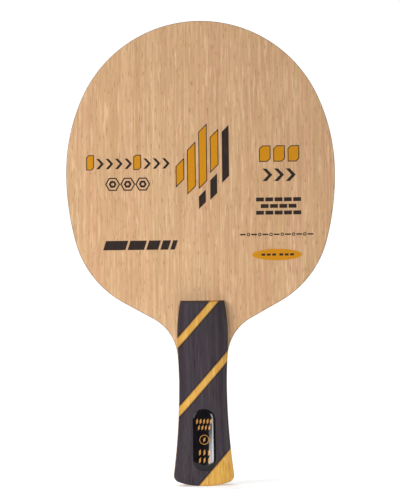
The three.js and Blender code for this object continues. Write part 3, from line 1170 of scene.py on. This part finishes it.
def yellow_wood_material():
    tones = tones_of(
        light=(225, 180, 96), middle=(217, 168, 81), dark=(192, 139, 58), pore=(163, 106, 40),
        gleam=(231, 197, 120), first_tint=(223, 151, 73), second_tint=(204, 174, 84),
    )
    stain = colour(110, 70, 34)
    end_tone = colour(166, 117, 52)
    return handle_wood_material("yellow_wood", tones, 900, stain, 0.55, end_tone, 0.46)


def ink_material(name, body, worn, roughness):
    """Ink printed on open-grained wood, thinner where it lies over a pore."""
    shader = Shader(name, Specular_IOR_Level=0.15)
    pores = shader.span(shader.noise(grain_size(0.62, 7, 2), 83, 1), 0.55, 0.72)
    speckle = shader.span(shader.noise((0.35, 0.35, 0.5), 17, 2), 0.35, 0.75)
    base = shader.cover(body, worn, pores, 0.35)
    base = shader.cover(base, worn, speckle, 0.14)
    shader.roughen(speckle, roughness, roughness + 0.12)
    return shader.finish(base, shader.math("SUBTRACT", speckle, pores), 0.012)


def gold_ink_material():
    """Gold print that is seen as if under the badge's resin, so it has the resin's gloss."""
    shader = Shader("gold_ink", Coat_Weight=1.0, Coat_Roughness=DOME_GLOSS, Coat_IOR=DOME_IOR)
    flakes = shader.span(shader.noise((0.14, 0.14, 0.14), 5, 1), 0.35, 0.65)
    shader.roughen(flakes, 0.34, 0.5)
    shader.drive("Metallic", shader.span(flakes, 0.0, 1.0, 0.25, 0.55))
    return shader.finish(shader.mix(flakes, colour(156, 102, 36), colour(186, 132, 54)))


def badge_material(name, body, haze, roughness):
    """Black print under clear resin, with the faint haze that the resin has in places."""
    shader = Shader(
        name, Specular_IOR_Level=0.0, Coat_Weight=1.0, Coat_Roughness=DOME_GLOSS, Coat_IOR=DOME_IOR
    )
    clouds = shader.span(shader.noise((3, 3, 6), 12, 2), 0.35, 0.75)
    shader.roughen(clouds, roughness, roughness + 0.1)
    return shader.finish(shader.mix(clouds, body, haze))


def make_materials():
    return {
        "face_veneer": face_veneer_material(),
        "middle_veneer": middle_veneer_material(),
        "core_wood": core_wood_material(),
        "carbon_ply": carbon_ply_material(),
        "dark_wood": dark_wood_material(),
        "yellow_wood": yellow_wood_material(),
        "badge_plate": badge_material("badge_plate", colour(16, 14, 17), colour(26, 24, 28), 0.3),
        "badge_dome": badge_material("badge_dome", colour(12, 10, 12), colour(20, 18, 21), 0.25),
        "yellow_ink": ink_material("yellow_ink", colour(204, 136, 2), colour(184, 124, 26), 0.42),
        "dark_ink": ink_material("dark_ink", colour(38, 29, 26), colour(88, 62, 46), 0.45),
        "gold_ink": gold_ink_material(),
    }


# ------------ stage, light and camera


def make_floor():
    """A round pale floor under the blade."""
    count = FLOOR_CORNERS
    corners = [point_at((0, 0), FLOOR_RADIUS, 2 * pi * step / count) for step in range(count)]
    mesh = bpy.data.meshes.new("floor")
    mesh.from_pydata([(x, y, 0) for x, y in corners], [], [list(range(count))])
    shader = Shader("floor", Specular_IOR_Level=0.1, Emission_Color=WHITE, Emission_Strength=FLOOR_GLOW)
    mottle = shader.noise((60, 60, 60), 3, 2)
    shader.roughen(mottle, 0.7, 0.9)
    greys = [(grey, grey, grey, 1) for grey in FLOOR_GREYS]
    mesh.materials.append(shader.finish(shader.mix(mottle, *greys)))
    floor = add_object("floor", mesh)


def make_world():
    """Seen directly the surroundings are white. What they shed on the blade is soft and comes from above."""
    world = bpy.data.worlds.new("studio")
    world.use_nodes = True
    bpy.context.scene.world = world
    tree = world.node_tree
    tree.nodes.clear()
    direction = add_node(tree, "TexCoord", {}).outputs["Generated"]
    height = add_node(tree, "SeparateXYZ", {0: direction}).outputs["Z"]
    levels = dict(enumerate((*WORLD_HEIGHTS, *WORLD_LIGHT), start=1))
    strength = add_node(tree, "MapRange", {"Value": height, **levels}).outputs[0]
    shed = add_node(tree, "Background", {"Color": WHITE, "Strength": strength}).outputs[0]
    seen = add_node(tree, "Background", {"Color": WHITE, "Strength": WORLD_SEEN}).outputs[0]
    direct = add_node(tree, "LightPath", {}).outputs["Is Camera Ray"]
    choice = add_node(tree, "MixShader", {0: direct, 1: shed, 2: seen}).outputs[0]
    add_node(tree, "OutputWorld", {"Surface": choice})


def add_softbox(name, place, size, power, target):
    light = bpy.data.lights.new(name, "AREA")
    light.shape = "RECTANGLE"
    light.size, light.size_y = size
    light.energy = power
    softbox = add_object(name, light)
    softbox.location = place
    softbox.rotation_euler = (Vector(target) - Vector(place)).to_track_quat("-Z", "Y").to_euler()


def place_round(azimuth, elevation, distance, centre):
    """A point seen from centre at an azimuth, which is 0 towards the front, and an elevation in degrees."""
    side, up = radians(azimuth), radians(elevation)
    way = Vector((sin(side) * cos(up), -cos(side) * cos(up), sin(up)))
    return Vector(centre) + way * distance


def make_lights():
    middle = (0, 0, BLADE_LENGTH / 2 * MM)
    badge = BADGE_FRAME.translation * MM
    for target, lights in ((middle, SOFTBOXES), (badge, BADGE_STRIPS)):
        for name, azimuth, elevation, distance, size, power in lights:
            add_softbox(name, place_round(azimuth, elevation, distance, target), size, power, target)


def make_camera():
    camera = bpy.data.cameras.new("camera")
    camera.lens = CAMERA_LENS
    camera.sensor_width = CAMERA_SENSOR
    camera.clip_end = CAMERA_REACH
    viewer = add_object("camera", camera)
    distance = VIEW_HEIGHT / 2 / (CAMERA_SENSOR / 2 / CAMERA_LENS)
    target = Vector((VIEW_MIDDLE[0], -BLADE_FACE, VIEW_MIDDLE[1]))
    viewer.location = place_round(CAMERA_AZIMUTH, 0, distance, target) * MM
    aim = (target * MM - viewer.location).to_track_quat("-Z", "Y")
    viewer.rotation_mode = "QUATERNION"
    viewer.rotation_quaternion = aim @ Quaternion((0, 0, 1), CAMERA_ROLL)
    bpy.context.scene.camera = viewer


# ------------ the whole

make_camera()
make_world()
make_lights()
make_floor()
bpy.context.scene.view_settings.view_transform = "Standard"

finishes = make_materials()
make_plies(finishes)
make_scale("front", -1, finishes)
make_scale("rear", 1, finishes)
make_badge(finishes)
make_head_print(finishes)
make_badge_print(finishes)

bpy.context.view_layer.update()
